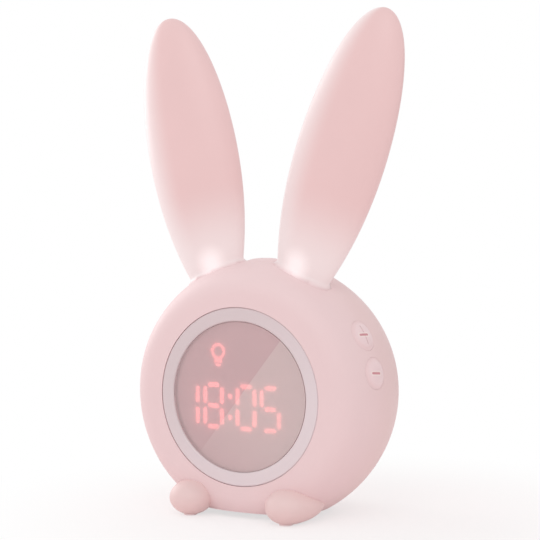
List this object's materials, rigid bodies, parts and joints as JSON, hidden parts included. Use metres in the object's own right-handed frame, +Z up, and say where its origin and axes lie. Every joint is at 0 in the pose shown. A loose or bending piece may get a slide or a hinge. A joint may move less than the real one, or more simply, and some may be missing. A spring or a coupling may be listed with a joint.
{
  "type": "alarm clock with night light",
  "caption": "Drum-shaped bedside alarm clock with a round lit digital display, tall translucent rabbit-style ears that glow, rounded feet and push buttons.",
  "frame": {"origin": "on the table, under the middle of the clock's overall box", "axes": "+Z up through the drum, the display faces -Y, +X is the side with the two round buttons"},
  "size_m": [0.1444, 0.084, 0.2449],
  "materials": {
    "shell_pink": "satin moulded shell, pale dusty pink",
    "foot_pink": "satin moulded foot, pale dusty pink",
    "ear_glow": "translucent soft-touch plastic, lit from inside",
    "ring_silver": "fine satin lacquer, pale silvery pink",
    "lens_tint": "glossy tinted lens",
    "mask_pink": "matt reflector block",
    "segment_glow": "lit light guide",
    "lamp_glow": "clear lamp, lit",
    "led_white": "small light source",
    "button_pink": "soft-touch button cap",
    "inner_white": "natural white moulding",
    "board_green": "solder mask over glass laminate",
    "black_parts": "moulded package",
    "rubber_grey": "matt non-slip pad",
    "foam_black": "closed-cell foam",
    "steel": "zinc-plated",
    "cell_wrap": "shrink sleeve",
    "strap_band": "retaining strap",
    "cone_paper": "pressed paper cone",
    "lead_cover": "soft insulation",
    "ribbon_white": "flat ribbon"
  },
  "bodies": {
    "clock": {"battery_cell": "cell_wrap", "battery_cradle": "inner_white", "battery_lead": "lead_cover", "battery_strap": "strap_band", "bezel_ring": "ring_silver", "board_parts": "black_parts", "board_screws": "steel", "body_shell": "shell_pink", "carrier_screws": "steel", "cover_screws": "steel", "dark_segments": "mask_pink", "display_board": "board_green", "display_carrier": "inner_white", "display_leds": "led_white", "display_lens": "lens_tint", "display_ribbon": "ribbon_white", "ear_clips": "steel", "ear_lights": "lamp_glow", "foot_screws": "steel", "lamp_sign": "segment_glow", "left_ear": "ear_glow", "left_ear_board": "board_green", "left_ear_lead": "lead_cover", "left_foot": "foot_pink", "lens_gasket": "foam_black", "lit_segments": "segment_glow", "main_board": "board_green", "minus_button_lead": "lead_cover", "minus_switch": "black_parts", "minus_switch_board": "board_green", "plus_button_lead": "lead_cover", "plus_switch": "black_parts", "plus_switch_board": "board_green", "power_switch": "black_parts", "rear_cover": "shell_pink", "right_ear": "ear_glow", "right_ear_board": "board_green", "right_ear_lead": "lead_cover", "right_foot": "foot_pink", "rubber_pads": "rubber_grey", "segment_mask": "mask_pink", "speaker_cone": "cone_paper", "speaker_frame": "steel", "speaker_gasket": "foam_black", "speaker_lead": "lead_cover", "speaker_magnet": "steel", "speaker_screws": "steel", "switch_board_screws": "steel", "top_button_lead": "lead_cover", "top_switch": "black_parts", "top_switch_board": "board_green", "usb_socket": "steel"},
    "plus_cap": {"plus_button": "button_pink", "plus_plunger": "inner_white"},
    "minus_cap": {"minus_button": "button_pink", "minus_plunger": "inner_white"},
    "top_cap": {"top_button": "button_pink", "top_plunger": "inner_white"},
    "power_slider": {"power_knob": "button_pink"}
  },
  "joints": [
    {"name": "plus_press", "type": "slide", "parent": "clock", "child": "plus_cap", "axis": [-0.8708, 0.1414, -0.4708], "range_m": [0, 0.001], "stiffness_N_per_m": 1200},
    {"name": "minus_press", "type": "slide", "parent": "clock", "child": "minus_cap", "axis": [-0.9697, 0.1414, -0.1991], "range_m": [0, 0.001], "stiffness_N_per_m": 1200},
    {"name": "top_press", "type": "slide", "parent": "clock", "child": "top_cap", "axis": [0, 0, -1], "range_m": [0, 0.0012], "stiffness_N_per_m": 1200},
    {"name": "power_slide", "type": "slide", "parent": "clock", "child": "power_slider", "axis": [1, 0, 0], "range_m": [0, 0.003]}
  ]
}
